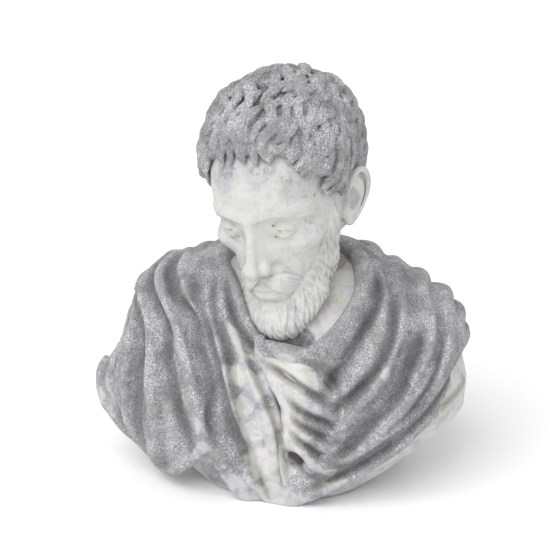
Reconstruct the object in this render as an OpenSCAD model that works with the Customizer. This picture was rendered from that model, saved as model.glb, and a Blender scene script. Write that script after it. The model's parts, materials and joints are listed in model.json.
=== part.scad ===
// Draped portrait bust of a bearded man, pieced in marble: a head and neck let into
// the collar of a chest block, with a cloak in three blocks pinned over the shoulders.
// Front is -Y, the sitter's left is +X, and the foot stands on z = 0.

/* [Chest] */
// Width across the cut arms
chest_w = 408; // [340:1:460]
// Depth of the chest, front to back
chest_d = 246; // [210:1:280]
// Height of the chest block, from its foot to the seat of the neck
chest_h = 250; // [220:1:280]
// Thickness of the cloak between its folds
cloak_t = 11; // [8:1:16]
// Height of the rolled folds above the cloak
fold_h = 9; // [5:1:13]

/* [Head] */
// Height of the bare head, from chin to crown
head_h = 240; // [200:1:260]
// Turn of the head towards the sitter's right, in degrees
head_turn = 15; // [0:1:30]
// Nod of the head, in degrees
head_nod = 18; // [5:1:25]
// Lean of the head to the sitter's left, in degrees
head_lean = 7; // [0:1:12]
// Radius of the neck where it leaves the collar
neck_r = 58; // [50:1:64]

/* [Fixings] */
// Radius of the round tenon under the neck
tenon_r = 42; // [34:1:46]
// Depth of the tenon in the chest
tenon_l = 52; // [35:1:70]
// Thickness of the bedding mortar round the tenon
bedding_t = 3; // [2:0.5:5]
// Radius of the steel dowel that holds the head
dowel_r = 8; // [5:0.5:10]
// Length of the steel dowel
dowel_l = 150; // [120:1:170]
// Radius of the pins that hold the cloak blocks
pin_r = 5; // [3:0.5:7]
// Length of the cloak pins
pin_l = 46; // [36:1:54]
// Radius of the bore that takes the spigot of a socle
socle_bore_r = 10; // [6:0.5:14]
// Length of the sleeve round that bore
sleeve_l = 60; // [30:1:80]

/* [Hidden] */

white_marble = "#dcdcd4";
grey_marble = "#9c9ca0";
sleeve_wall = 4;
grout_t = 5;
hole_gap = 0.5;
far = 600;

// The chest block as level sections: height, half width, front depth and back depth,
// each as a share of chest_h, chest_w / 2, chest_d / 2 and chest_d / 2.
sections = [
    [0.00, 0.52, 0.97, 0.68],
    [0.07, 0.64, 1.01, 0.76],
    [0.20, 0.83, 1.04, 0.86],
    [0.34, 1.00, 1.05, 0.94],
    [0.46, 1.01, 1.06, 0.98],
    [0.60, 0.97, 1.04, 1.00],
    [0.72, 0.93, 0.98, 0.99],
    [0.82, 0.86, 0.87, 0.94],
    [0.90, 0.73, 0.73, 0.86],
    [0.96, 0.54, 0.60, 0.75],
    [1.00, 0.38, 0.52, 0.64]
];
// Squareness of the sections: 1 is an ellipse and less is squarer
squareness = 0.86;
around = 48;
neck_at = [5, -12];
head_at = [7, -50, 338];

function unit(v) = v / norm(v);
function share(t, k) = lookup(t, [for (s = sections) [s[0], s[k]]]);
function signed_power(v, p) = sign(v) * pow(abs(v), p);

// A point on the chest: bearing is 0 at the front and grows towards the sitter's left.
function chest_point(bearing, t) =
    let (c = signed_power(sin(bearing), squareness), s = -signed_power(cos(bearing), squareness))
    [c * share(t, 1) * chest_w / 2, s * share(t, s < 0 ? 2 : 3) * chest_d / 2, t * chest_h];

function chest_normal(bearing, t) =
    let (step_t = 0.02, low = max(t - step_t, 0), high = min(t + step_t, 1))
    unit(cross(chest_point(bearing + 2, t) - chest_point(bearing - 2, t),
               chest_point(bearing, high) - chest_point(bearing, low)));

function on_chest(station, lift) =
    chest_point(station[0], station[1]) + lift * chest_normal(station[0], station[1]);

// Solid from closed rings of points, the lowest ring first.
module skin(rings) {
    n = len(rings[0]);
    last = len(rings) - 1;
    sides = [for (i = [0:last - 1], j = [0:n - 1])
        [i * n + j, (i + 1) * n + j, (i + 1) * n + (j + 1) % n, i * n + (j + 1) % n]];
    polyhedron([for (r = rings) each r],
               concat([[for (j = [0:n - 1]) j]], sides, [[for (j = [n - 1:-1:0]) last * n + j]]));
}

module chest_form() {
    levels = [for (s = sections) s[0]];
    skin([for (i = [0:len(levels) - 2], k = [0, 0.5]) let (t = levels[i] * (1 - k) + levels[i + 1] * k)
              [for (j = [0:around - 1]) chest_point(j * 360 / around, t)],
          [for (j = [0:around - 1]) chest_point(j * 360 / around, 1)]]);
}

module blob(at, size) {
    translate(at) scale(size) sphere(1, $fn = 20);
}

// ---- the cloak -------------------------------------------------------------------------

// Folds of the fall over the sitter's right shoulder and the back, from the front opening
// round to the nape. Each runs from collar to hem as [bearing, height share] stations.
fall_folds = [
    [[-34, 0.97], [-12, 0.86], [-3, 0.64], [1, 0.40], [4, 0.20], [5, 0.03]],
    [[-52, 0.97], [-22, 0.83], [-13, 0.62], [-8, 0.42], [-4, 0.22], [0, 0.02]],
    [[-86, 0.97], [-32, 0.86], [-20, 0.70], [-16, 0.52], [-14, 0.38], [-15, 0.24]],
    [[-96, 0.93], [-48, 0.84], [-36, 0.66], [-32, 0.48], [-32, 0.32], [-34, 0.19]],
    [[-100, 0.88], [-66, 0.78], [-52, 0.60], [-48, 0.44], [-48, 0.28], [-50, 0.14]],
    [[-108, 0.88], [-86, 0.74], [-76, 0.56], [-74, 0.42], [-68, 0.30], [-60, 0.18]],
    [[-120, 0.94], [-106, 0.80], [-100, 0.66], [-97, 0.54], [-95, 0.44], [-93, 0.36]],
    [[-134, 0.98], [-124, 0.84], [-121, 0.70], [-119, 0.57], [-118, 0.45], [-117, 0.35]],
    [[-150, 0.99], [-144, 0.84], [-142, 0.69], [-141, 0.55], [-140, 0.42], [-140, 0.31]],
    [[-166, 0.99], [-163, 0.84], [-162, 0.68], [-162, 0.53], [-162, 0.40], [-162, 0.29]],
    [[-184, 0.99], [-184, 0.84], [-184, 0.68], [-184, 0.53], [-184, 0.40], [-184, 0.29]],
    [[-206, 0.99], [-207, 0.85], [-207, 0.71], [-207, 0.58], [-207, 0.46], [-207, 0.35]],
];
// Folds of the sweep from the nape over the sitter's left shoulder to the foot, from
// collar to hem. Each runs from the back to the front.
sweep_folds = [
    [[153, 0.99], [112, 0.99], [76, 0.98], [44, 0.92], [22, 0.80], [2, 0.72]],
    [[153, 0.91], [114, 0.96], [84, 0.95], [56, 0.89], [36, 0.74], [16, 0.53]],
    [[153, 0.82], [116, 0.90], [90, 0.89], [64, 0.82], [40, 0.64], [19, 0.40]],
    [[153, 0.71], [118, 0.82], [94, 0.82], [68, 0.74], [43, 0.54], [20, 0.27]],
    [[153, 0.60], [120, 0.73], [98, 0.73], [74, 0.66], [44, 0.42], [14, 0.15]],
    [[153, 0.48], [122, 0.62], [102, 0.62], [80, 0.54], [50, 0.34], [8, 0.04]],
];

// A sheet that bridges neighbouring folds, with a rounded ridge along each of them.
module draped(folds) {
    sheet_r = cloak_t * 0.6;
    ridge_r = (cloak_t + fold_h) * 0.5;
    for (i = [0:len(folds) - 1], j = [0:len(folds[0]) - 2]) {
        hull() for (k = [0, 1]) translate(on_chest(folds[i][j + k], fold_h * 0.7)) sphere(ridge_r, $fn = 10);
        if (i < len(folds) - 1)
            hull() for (k = [0, 1], m = [0, 1])
                translate(on_chest(folds[i + m][j + k], cloak_t * 0.3)) sphere(sheet_r, $fn = 8);
    }
}

// The heavy loose end that hangs clear in front of the cut arm.
module loose_end() {
    top = on_chest([-80, 0.62], 10);
    middle = on_chest([-72, 0.34], 14);
    foot = on_chest([-66, 0.17], 24);
    hull() {
        translate(top) sphere(12, $fn = 16);
        translate(middle) scale([1.6, 1, 1]) sphere(17, $fn = 16);
    }
    hull() {
        translate(middle) scale([1.6, 1, 1]) sphere(17, $fn = 16);
        translate(foot) scale([2, 1.1, 1]) sphere(15, $fn = 16);
    }
}

// The part of the cloak that falls over the sitter's right shoulder, down to the foot.
module fall() {
    draped(fall_folds);
    loose_end();
}

// Cuts a cloak block's children back to the chest's surface, the neck, the pins and the floor.
module fitted() {
    difference() {
        union() children();
        chest_form();
        neck_room();
        cloak_pin_holes();
        translate([0, 0, -far]) cube([2 * far, 2 * far, 2 * far], center = true);
    }
}

// Room for the neck inside the collar.
module neck_room() {
    translate([neck_at[0], neck_at[1], chest_h - 20]) cylinder(h = 80, r1 = neck_r + 2, r2 = neck_r + 10, $fn = 40);
}

// The cloak's back block starts behind this plane.
back_joint_y = 34;

module before_joint() {
    intersection() {
        union() children();
        translate([-far, back_joint_y - 2 * far, 0]) cube([2 * far, 2 * far, far]);
    }
}

module cloak_right_shoulder() {
    color(grey_marble) fitted() before_joint() fall();
}

// The front joint follows the edge of the fall.
module cloak_left_shoulder() {
    color(grey_marble) difference() {
        fitted() before_joint() draped(sweep_folds);
        fall();
    }
}

module cloak_back() {
    color(grey_marble) fitted() intersection() {
        union() {
            fall();
            draped(sweep_folds);
        }
        translate([-far, back_joint_y, 0]) cube([2 * far, far, far]);
    }
}

// ---- chest -----------------------------------------------------------------------------

module chest() {
    color(white_marble) difference() {
        chest_form();
        neck_axis(chest_h - tenon_l - bedding_t) cylinder(h = far, r = tenon_r + bedding_t, $fn = 48);
        neck_axis(dowel_foot) cylinder(h = far, r = dowel_r + hole_gap, $fn = 32);
        cloak_pin_holes();
        translate([0, 0, -1]) cylinder(h = sleeve_l + 1, r = socle_bore_r + sleeve_wall + grout_t, $fn = 48);
    }
}

// ---- head and neck ---------------------------------------------------------------------

dowel_foot = chest_h - tenon_l - bedding_t - dowel_l * 0.45;

module neck_axis(z) {
    translate([neck_at[0], neck_at[1], z]) children();
}

// Carries a shape from the head's own frame, centred between the ears, to the bust's.
module place_head() {
    translate(head_at) rotate([0, 0, -head_turn]) rotate([head_nod, 0, 0])
        rotate([0, -head_lean, 0]) scale(head_h / 240) children();
}

module skull() {
    hull() {
        blob([0, 14, 48], [74, 86, 76]);
        blob([0, -22, 46], [68, 70, 70]);
    }
}

module face() {
    hull() {
        blob([0, -30, 48], [68, 62, 46]);
        for (s = [-1, 1]) {
            blob([s * 34, -68, 22], [24, 22, 14]);
            blob([s * 46, -46, -14], [22, 26, 22]);
            blob([s * 42, -10, -66], [15, 20, 18]);
        }
        blob([0, -84, -92], [20, 15, 16]);
    }
}

module nose() {
    hull() {
        blob([0, -91, 14], [7, 8, 8]);
        blob([0, -110, -32], [9, 9, 8]);
        for (s = [-1, 1]) blob([s * 11, -97, -36], [7, 8, 6]);
    }
}

module ear(side) {
    hull() {
        blob([side * 76, 16, 10], [9, 16, 16]);
        blob([side * 74, 10, -30], [7, 9, 12]);
    }
}

module hair() {
    difference() {
        hull() {
            blob([0, 14, 52], [85, 94, 86]);
            blob([0, -22, 52], [80, 80, 80]);
        }
        translate([0, -88, 74]) rotate([-36, 0, 0]) translate([0, 0, -far / 2]) cube([far, far, far], center = true);
        translate([0, 0, -52 - far / 2]) cube([far, far, far], center = true);
    }
    hull() {
        blob([0, 62, 10], [66, 40, 40]);
        blob([0, 60, -32], [52, 34, 26]);
    }
}

module beard() {
    hull() {
        blob([0, -84, -108], [25, 20, 22]);
        for (s = [-1, 1]) {
            blob([s * 24, -84, -66], [18, 16, 20]);
            blob([s * 48, -12, -58], [17, 20, 26]);
        }
    }
}

module neck() {
    hull() {
        neck_axis(chest_h + bedding_t) cylinder(h = 12, r = neck_r, $fn = 40);
        place_head() blob([0, 26, -30], [54, 48, 20]);
    }
    hull() {
        neck_axis(chest_h + 26) cylinder(h = 4, r = neck_r - 8, $fn = 40);
        place_head() blob([0, -28, -66], [42, 44, 20]);
    }
}

module head_and_neck() {
    color(white_marble) difference() {
        union() {
            place_head() {
                skull();
                face();
                nose();
                beard();
                hair();
                for (side = [-1, 1]) ear(side);
            }
            neck();
            neck_axis(chest_h - tenon_l) cylinder(h = tenon_l + 6, r = tenon_r, $fn = 48);
        }
        neck_axis(dowel_foot) cylinder(h = dowel_l + hole_gap, r = dowel_r + hole_gap, $fn = 32);
    }
}

// ---- fixings ---------------------------------------------------------------------------

// Mortar in the socket under and round the tenon, and under the neck's shoulder.
module neck_bedding() {
    color("#b9b4a4") difference() {
        union() {
            neck_axis(chest_h - tenon_l - bedding_t) cylinder(h = tenon_l + bedding_t, r = tenon_r + bedding_t, $fn = 48);
            neck_axis(chest_h) cylinder(h = bedding_t, r = neck_r, $fn = 48);
        }
        neck_axis(chest_h - tenon_l) cylinder(h = far, r = tenon_r, $fn = 48);
        neck_axis(dowel_foot) cylinder(h = far, r = dowel_r + hole_gap, $fn = 32);
    }
}

module neck_dowel() {
    color("#8d9196") neck_axis(dowel_foot) cylinder(h = dowel_l, r = dowel_r, $fn = 48);
}

// Each pin's [bearing, height share] on the chest.
pin_stations = [[-70, 0.50], [-100, 0.66], [66, 0.62], [98, 0.66], [-160, 0.55], [158, 0.62]];

// Stands children on the chest at a station, with their +Z along its outward normal.
module at_station(station) {
    at = on_chest(station, 0);
    n = chest_normal(station[0], station[1]);
    translate(at) rotate([0, acos(n[2]), atan2(n[1], n[0])]) children();
}

// The pins start this deep in the chest and end inside the cloak.
pin_depth = pin_l - cloak_t * 0.5;

module cloak_pin_holes() {
    for (s = pin_stations)
        at_station(s) translate([0, 0, -pin_depth - hole_gap]) cylinder(h = pin_l + 2 * hole_gap, r = pin_r + hole_gap, $fn = 20);
}

module cloak_pins() {
    color("#b08d57") for (s = pin_stations)
        at_station(s) translate([0, 0, -pin_depth]) cylinder(h = pin_l, r = pin_r, $fn = 20);
}

module socle_sleeve() {
    color("#a9885a") difference() {
        cylinder(h = sleeve_l, r = socle_bore_r + sleeve_wall, $fn = 48);
        translate([0, 0, -1]) cylinder(h = sleeve_l + 2, r = socle_bore_r, $fn = 48);
    }
}

module sleeve_grout() {
    color("#b9b4a4") difference() {
        cylinder(h = sleeve_l, r = socle_bore_r + sleeve_wall + grout_t, $fn = 48);
        translate([0, 0, -1]) cylinder(h = sleeve_l + 2, r = socle_bore_r + sleeve_wall, $fn = 48);
    }
}

chest();
head_and_neck();
cloak_right_shoulder();
cloak_left_shoulder();
cloak_back();
neck_bedding();
neck_dowel();
cloak_pins();
socle_sleeve();
sleeve_grout();
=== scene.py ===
"""A life-size marble bust, carved as an assembly of blocks and finished as old garden marble."""

import copy
import json
import math

import bpy
import numpy as np
import openvdb
from mathutils import Euler, Matrix, Vector

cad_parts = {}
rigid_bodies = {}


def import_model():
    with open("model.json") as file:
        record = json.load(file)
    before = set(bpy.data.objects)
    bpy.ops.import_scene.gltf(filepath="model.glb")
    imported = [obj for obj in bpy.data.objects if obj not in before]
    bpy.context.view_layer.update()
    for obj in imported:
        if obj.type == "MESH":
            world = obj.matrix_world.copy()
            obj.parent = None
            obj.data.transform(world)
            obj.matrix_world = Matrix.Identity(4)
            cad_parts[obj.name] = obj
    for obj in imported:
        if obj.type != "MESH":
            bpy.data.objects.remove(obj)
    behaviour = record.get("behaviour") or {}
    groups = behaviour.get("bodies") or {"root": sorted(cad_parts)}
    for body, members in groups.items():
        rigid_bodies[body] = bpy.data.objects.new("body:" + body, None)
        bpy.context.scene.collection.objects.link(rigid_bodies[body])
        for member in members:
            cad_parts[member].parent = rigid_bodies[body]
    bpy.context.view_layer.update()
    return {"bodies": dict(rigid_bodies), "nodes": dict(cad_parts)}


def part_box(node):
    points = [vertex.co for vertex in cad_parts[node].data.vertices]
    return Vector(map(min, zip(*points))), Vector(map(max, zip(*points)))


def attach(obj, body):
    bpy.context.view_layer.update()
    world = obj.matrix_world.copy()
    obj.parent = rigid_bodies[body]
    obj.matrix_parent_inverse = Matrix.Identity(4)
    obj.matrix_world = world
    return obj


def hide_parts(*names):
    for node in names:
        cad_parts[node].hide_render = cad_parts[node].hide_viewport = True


bl_info = {
    "name": "Draped marble bust",
    "version": (1, 0, 0),
    "blender": (4, 5, 0),
    "location": "View3D > Sidebar > Bust",
    "description": "Carves a bearded portrait bust in draped, weathered marble",
    "category": "Add Mesh",
}

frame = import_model()
NODES = frame["nodes"]
BODY = next(iter(frame["bodies"]))
MM = 0.001
SIDES = (-1, 1)
# A piece with more triangles than this is thinned, so that it stays under 200,000.
MOST_TRIANGLES = 190000
# Distances are kept up to this many millimetres from the stone.
FAR = np.float32(60)


def box_mm(node):
    """A CAD node's lowest and highest corners in millimetres."""
    low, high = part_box(node)
    return np.array(low) / MM, np.array(high) / MM


CHEST_LOW, CHEST_HIGH = box_mm("chest")
BED_LOW, BED_HIGH = box_mm("neck_bedding")
# The heart is the point inside the chest from which the cloak's folds are laid out.
HEART = np.array([0.0, 0.0, 0.48 * CHEST_HIGH[2]])
NECK = (BED_LOW + BED_HIGH) / 2


# ---- clay: stone as signed distances on a grid ---------------------------------------------


def soft_min(a, b, blend):
    """The smaller of two distances, rounded where they are within blend of each other."""
    if blend <= 0:
        return np.minimum(a, b)
    h = np.maximum(blend - np.abs(a - b), 0) / blend
    return np.minimum(a, b) - h * h * blend / 4


def blur(field, passes=1):
    """Averages a field with its neighbours along each axis."""
    for _ in range(passes):
        for axis in range(3):
            f = np.moveaxis(field, axis, 0)
            g = f.copy()
            g[1:-1] = (f[:-2] + 2 * f[1:-1] + f[2:]) / 4
            field = np.moveaxis(g, 0, axis)
    return np.ascontiguousarray(field)


def smooth_path(stations, step):
    """Points about step apart on a Catmull-Rom curve through rows of numbers, the first three a place."""
    rows = np.array(stations, float)
    padded = np.vstack([2 * rows[0] - rows[1], rows, 2 * rows[-1] - rows[-2]])
    out = []
    for i in range(len(rows) - 1):
        p0, p1, p2, p3 = padded[i : i + 4]
        n = max(1, int(round(np.linalg.norm((p2 - p1)[:3]) / step)))
        for t in np.arange(n) / n:
            out.append(
                0.5 * (2 * p1 + (p2 - p0) * t + (2 * p0 - 5 * p1 + 4 * p2 - p3) * t**2
                       + (3 * p1 - p0 - 3 * p2 + p3) * t**3)
            )
    return np.array([*out, rows[-1]])


class Clay:
    """A block of stone in millimetres. Its distances are below zero inside the stone."""

    def __init__(self, low, high, cell):
        self.low = np.array(low, np.float32)
        self.cell = cell
        self.count = [int(math.ceil((h - l) / cell)) + 1 for l, h in zip(low, high)]
        self.d = np.full(self.count, FAR, np.float32)

    def window(self, low, high):
        """Slices of the grid that hold a box, and their x, y and z."""
        cuts, axes = [], []
        for k in range(3):
            a = int(np.clip(math.floor((low[k] - self.low[k]) / self.cell), 0, self.count[k]))
            b = int(np.clip(math.ceil((high[k] - self.low[k]) / self.cell) + 1, a, self.count[k]))
            cuts.append(slice(a, b))
            shape = [1, 1, 1]
            shape[k] = b - a
            axes.append((self.low[k] + self.cell * np.arange(a, b, dtype=np.float32)).reshape(shape))
        return tuple(cuts), axes

    def axes(self):
        """The x, y and z of the whole grid."""
        return self.window(self.low, self.low + np.array(self.count) * self.cell)[1]

    def mix(self, cuts, field, blend, cut):
        """Joins a field to the stone, or cuts it away."""
        if cut:
            self.d[cuts] = -soft_min(-self.d[cuts], field, blend)
        else:
            self.d[cuts] = soft_min(self.d[cuts], field, blend)

    def adopt(self, node, soften):
        """Takes its stone from a CAD node's solid, with the facets softened."""
        mesh = NODES[node].data
        count = len(mesh.vertices)
        places = np.empty(count * 3, np.float32)
        mesh.vertices.foreach_get("co", places)
        mesh.calc_loop_triangles()
        corners = np.empty(len(mesh.loop_triangles) * 3, np.int32)
        mesh.loop_triangles.foreach_get("vertices", corners)
        places = (places.reshape(-1, 3) / MM - self.low) / self.cell
        band = int(26 / self.cell)
        grid = openvdb.FloatGrid.createLevelSetFromPolygons(
            places.astype(np.float32), triangles=corners.reshape(-1, 3).astype(np.uint32),
            transform=openvdb.createLinearTransform(1.0), halfWidth=band,
        )
        field = np.full(self.count, band, np.float32)
        grid.copyToArray(field)
        self.d = blur(field * np.float32(self.cell), soften)

    def loft(self, rows):
        """Adds a form from level sections: height, half width, centre, front and back in y, and squareness,
        from 2 for an ellipse upwards."""
        rows = np.array(rows, float)
        x, y, z = self.axes()
        level = z.ravel()
        cols = [np.interp(level, rows[:, 0], rows[:, k]) for k in range(1, 6)]
        soft = max(1, int(5 / self.cell))
        kernel = np.ones(2 * soft + 1) / (2 * soft + 1)
        cols = [np.convolve(np.pad(c, soft, "edge"), kernel, "valid").astype(np.float32) for c in cols]
        w, c, f, b, p = (col.reshape(1, 1, -1) for col in cols)
        w = np.maximum(w, 1.0)
        side = np.abs(x) / w
        deep = np.where(y < c, (c - y) / np.maximum(c - f, 1.0), (y - c) / np.maximum(b - c, 1.0))
        wide = np.where(y < c, np.maximum(c - f, 1.0), np.maximum(b - c, 1.0))
        q = np.maximum((side**p + deep**p) ** (1 / p), 1e-3)
        steep = q ** (1 - p) * np.sqrt((side ** (p - 1) / w) ** 2 + (deep ** (p - 1) / wide) ** 2)
        field = (q - 1) / np.maximum(steep, 1e-3)
        ends = np.maximum(rows[0, 0] - z, z - rows[-1, 0])
        field = np.maximum(field, ends)
        self.mix(..., np.clip(field, -FAR, FAR).astype(np.float32), 0, False)

    def ellipsoid(self, at, size, blend=0.0, cut=False, turn=(0, 0, 0)):
        """Adds or cuts an ellipsoid, turned by degrees about x, y and z."""
        at, size = np.array(at, np.float32), np.array(size, np.float32)
        reach = (size if not any(turn) else np.full(3, size.max())) + blend + 2 * self.cell
        cuts, (x, y, z) = self.window(at - reach, at + reach)
        x, y, z = x - at[0], y - at[1], z - at[2]
        if any(turn):
            m = np.array(Euler([math.radians(t) for t in turn]).to_matrix().transposed())
            x, y, z = (m[k][0] * x + m[k][1] * y + m[k][2] * z for k in range(3))
        near = np.sqrt((x / size[0]) ** 2 + (y / size[1]) ** 2 + (z / size[2]) ** 2)
        steep = np.sqrt((x / size[0] ** 2) ** 2 + (y / size[1] ** 2) ** 2 + (z / size[2] ** 2) ** 2)
        field = near * (near - 1) / np.maximum(steep, 1e-6)
        self.mix(cuts, field.astype(np.float32), blend, cut)

    def stroke(self, path, blend=0.0, cut=False, flat=1.0, normals=None, strands=0, groove=0.0):
        """Adds or cuts a tapered roll along rows of x, y, z and radius. flat presses it along its normals,
        and strands comb that many grooves along it, each groove that deep."""
        path = np.array(path, np.float32)
        reach = path[:, 3].max() + blend + 2 * self.cell
        cuts, (x, y, z) = self.window(path[:, :3].min(0) - reach, path[:, :3].max(0) + reach)
        size = [c.stop - c.start for c in cuts]
        if min(size) < 1:
            return
        field = np.full(size, FAR, np.float32)
        for i in range(len(path) - 1):
            a, b = path[i], path[i + 1]
            along = b[:3] - a[:3]
            long2 = float(along @ along)
            if long2 < 1e-8:
                continue
            r = max(a[3], b[3]) + blend + 2 * self.cell
            lo, hi = np.minimum(a[:3], b[:3]) - r, np.maximum(a[:3], b[:3]) + r
            inner, (u, v, w) = self.window(lo, hi)
            if min(s.stop - s.start for s in inner) < 1:
                continue
            part = tuple(slice(s.start - c.start, s.stop - c.start) for s, c in zip(inner, cuts))
            u, v, w = u - a[0], v - a[1], w - a[2]
            t = np.clip((u * along[0] + v * along[1] + w * along[2]) / long2, 0, 1)
            u, v, w = u - t * along[0], v - t * along[1], w - t * along[2]
            radius = a[3] + t * (b[3] - a[3])
            square = u * u + v * v + w * w
            comb = 0.0
            if normals is not None:
                n = normals[i] + normals[i + 1]
                n = n / max(np.linalg.norm(n), 1e-6)
                lift = u * n[0] + v * n[1] + w * n[2]
                square = square + (flat * flat - 1) * lift * lift
                if strands:
                    side = np.cross(along / math.sqrt(long2), n)
                    across = (u * side[0] + v * side[1] + w * side[2]) / np.maximum(radius, 0.3)
                    comb = groove * np.abs(np.sin(math.pi * strands * across / 2 + 1.57 * (strands % 2)))
                    comb = groove - comb
            np.minimum(field[part], np.sqrt(square) - radius + comb, out=field[part])
        self.mix(cuts, field, blend, cut)

    def sample(self, points, field=None, every=1):
        """The distance at points, read between cells. A coarser field has values every so many cells."""
        field = self.d if field is None else field
        at = (np.asarray(points, np.float32) - self.low) / (self.cell * every)
        limit = np.array(field.shape) - 2
        i = np.clip(np.floor(at).astype(int), 0, limit)
        t = np.clip(at - i, 0, 1)
        total = 0
        for corner in np.ndindex(2, 2, 2):
            w = np.prod([t[..., k] if corner[k] else 1 - t[..., k] for k in range(3)], axis=0)
            total = total + w * field[i[..., 0] + corner[0], i[..., 1] + corner[1], i[..., 2] + corner[2]]
        return total

    def normal(self, points):
        """The outward normals of the stone near points."""
        h = 1.5 * self.cell
        g = np.stack([self.sample(points + h * e) - self.sample(points - h * e) for e in np.eye(3)], -1)
        return g / np.maximum(np.linalg.norm(g, axis=-1, keepdims=True), 1e-6)

    def surface(self, start, toward, reach=260.0):
        """Where rays from a point inside the stone last leave it."""
        toward = np.asarray(toward, float)
        toward = toward / np.linalg.norm(toward, axis=-1, keepdims=True)
        steps = np.arange(0, reach, self.cell)
        at = np.asarray(start, float) + steps[:, None] * toward[..., None, :]
        top = self.low + (np.array(self.count) - 1) * self.cell
        d = np.where(np.all((at > self.low) & (at < top), -1), self.sample(at), 5.0)
        last = len(steps) - 1 - np.argmax(d[..., ::-1] < 0, axis=-1)
        last = np.minimum(last, len(steps) - 2)
        d0 = np.take_along_axis(d, last[..., None], -1)[..., 0]
        d1 = np.take_along_axis(d, last[..., None] + 1, -1)[..., 0]
        share = np.clip(d0 / np.where(np.abs(d0 - d1) < 1e-6, -1e-6, d0 - d1), 0, 1)
        return np.asarray(start, float) + toward * (steps[last] + share * self.cell)[..., None]

    def laid(self, heart, stations, step=5.0):
        """A path on the stone through (bearing, elevation, lift, radius) stations seen from the heart, with
        the stone's normals along it. Bearing is 0 at the front and grows to the right."""
        # A degree counts as 2 mm where the path is divided into steps.
        rows = smooth_path([(b * 2, e * 2, 0, l, r) for b, e, l, r in stations], step)
        bearing, rise = np.radians(rows[:, 0] / 2), np.radians(rows[:, 1] / 2)
        level = np.cos(rise)
        toward = np.stack([np.sin(bearing) * level, -np.cos(bearing) * level, np.sin(rise)], -1)
        at = self.surface(heart, toward)
        normals = self.normal(at)
        at = at + normals * rows[:, 3:4]
        return np.column_stack([at, rows[:, 4]]), normals

    def carve(self, name, matrix=None):
        """The stone's surface as a new object with its place in its mesh, and the attributes the marble
        reads: hollow is how deep a point lies in narrow grooves, and valley in broad folds. The marble
        paints shade into the grooves and folds by them."""
        band = np.float32(3 * self.cell)
        clipped = np.clip(self.d, -band, band)
        grid = openvdb.FloatGrid(float(band))
        grid.copyFromArray(clipped)
        points, quads = grid.convertToQuads(0.0)
        places = points * self.cell + self.low
        near = blur(np.clip(self.d, -6, 6), max(2, int(4 / self.cell)))
        hollow = -self.sample(places, near)
        every = max(2, int(round(6 / self.cell)))
        wide = blur(np.clip(self.d, -24, 24)[::every, ::every, ::every], 3)
        valley = -self.sample(places, wide, every)
        if matrix is not None:
            places = places @ np.array(matrix.to_3x3()).T + np.array(matrix.translation)
        mesh = bpy.data.meshes.new(name)
        mesh.vertices.add(len(places))
        mesh.vertices.foreach_set("co", (places * MM).astype(np.float32).ravel())
        mesh.loops.add(quads.size)
        mesh.loops.foreach_set("vertex_index", quads[:, ::-1].astype(np.int32).ravel())
        mesh.polygons.add(len(quads))
        mesh.polygons.foreach_set("loop_start", np.arange(0, quads.size, 4, dtype=np.int32))
        mesh.update()
        mesh.validate()
        store(mesh, "hollow", hollow)
        store(mesh, "valley", valley)
        piece = bpy.data.objects.new(name, mesh)
        bpy.context.scene.collection.objects.link(piece)
        choose(piece)
        bpy.ops.object.mode_set(mode="EDIT")
        bpy.ops.mesh.select_all(action="SELECT")
        bpy.ops.mesh.normals_make_consistent(inside=False)
        bpy.ops.object.mode_set(mode="OBJECT")
        triangles = 2 * len(quads)
        if triangles > MOST_TRIANGLES:
            thin = piece.modifiers.new("thin", "DECIMATE")
            thin.ratio = MOST_TRIANGLES / triangles
            bpy.ops.object.modifier_apply(modifier=thin.name)
        bpy.ops.object.shade_smooth()
        return piece


def copy_of(clay, field=None):
    """Another clay on the same grid: empty, or with a field's stone."""
    other = copy.copy(clay)
    other.d = np.full(clay.count, FAR, np.float32) if field is None else field.copy()
    return other


def store(mesh, name, values):
    """Keeps one number a point on a mesh, for its material to read."""
    attribute = mesh.attributes.get(name) or mesh.attributes.new(name, "FLOAT", "POINT")
    attribute.data.foreach_set("value", np.asarray(values, np.float32))


def choose(*pieces):
    """Selects only these pieces, the first one active."""
    bpy.ops.object.select_all(action="DESELECT")
    for piece in pieces:
        piece.select_set(True)
    bpy.context.view_layer.objects.active = pieces[0]


def cell_size(fine):
    return fine


# ---- head -----------------------------------------------------------------------------------

# The bare head's level sections in its own frame, which is centred between the ears with the face
# to -Y: height, half width, centre, front and back in y, and squareness.
HEAD_ROWS = [
    (-118, 6, -78, -84, -72, 2.0), (-112, 20, -70, -94, -54, 2.0), (-99, 31, -56, -97, -34, 2.0),
    (-82, 42, -34, -92, -12, 2.0), (-64, 51, -18, -90, 8, 2.0), (-46, 57, -14, -89, 22, 2.05),
    (-28, 62, -14, -88, 36, 2.1), (-12, 66, -14, -86, 56, 2.2), (6, 68, -6, -84, 84, 2.3),
    (22, 69, 0, -88, 98, 2.35), (44, 72, 8, -86, 105, 2.3), (64, 72, 12, -77, 107, 2.2),
    (84, 66, 14, -60, 101, 2.1), (104, 51, 18, -34, 86, 2.05), (118, 32, 24, -6, 62, 2.0),
    (127, 8, 27, 16, 38, 2.0),
]
# The hair is laid out as seen from the brain, and the beard as seen from the jaw.
BRAIN = (0, 8, 34)
JAW = (0, -26, -58)
# Where the head's own frame stands in the bust's.
HEAD_PLACE = (7, -50, 338)
# The left eye's centre, the eyeball's radius, and the radius over its lids, which are 1.6 mm thick.
EYE = (31, -68.5, 5.5)
EYEBALL = 12.6
LID = 14.2


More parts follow.
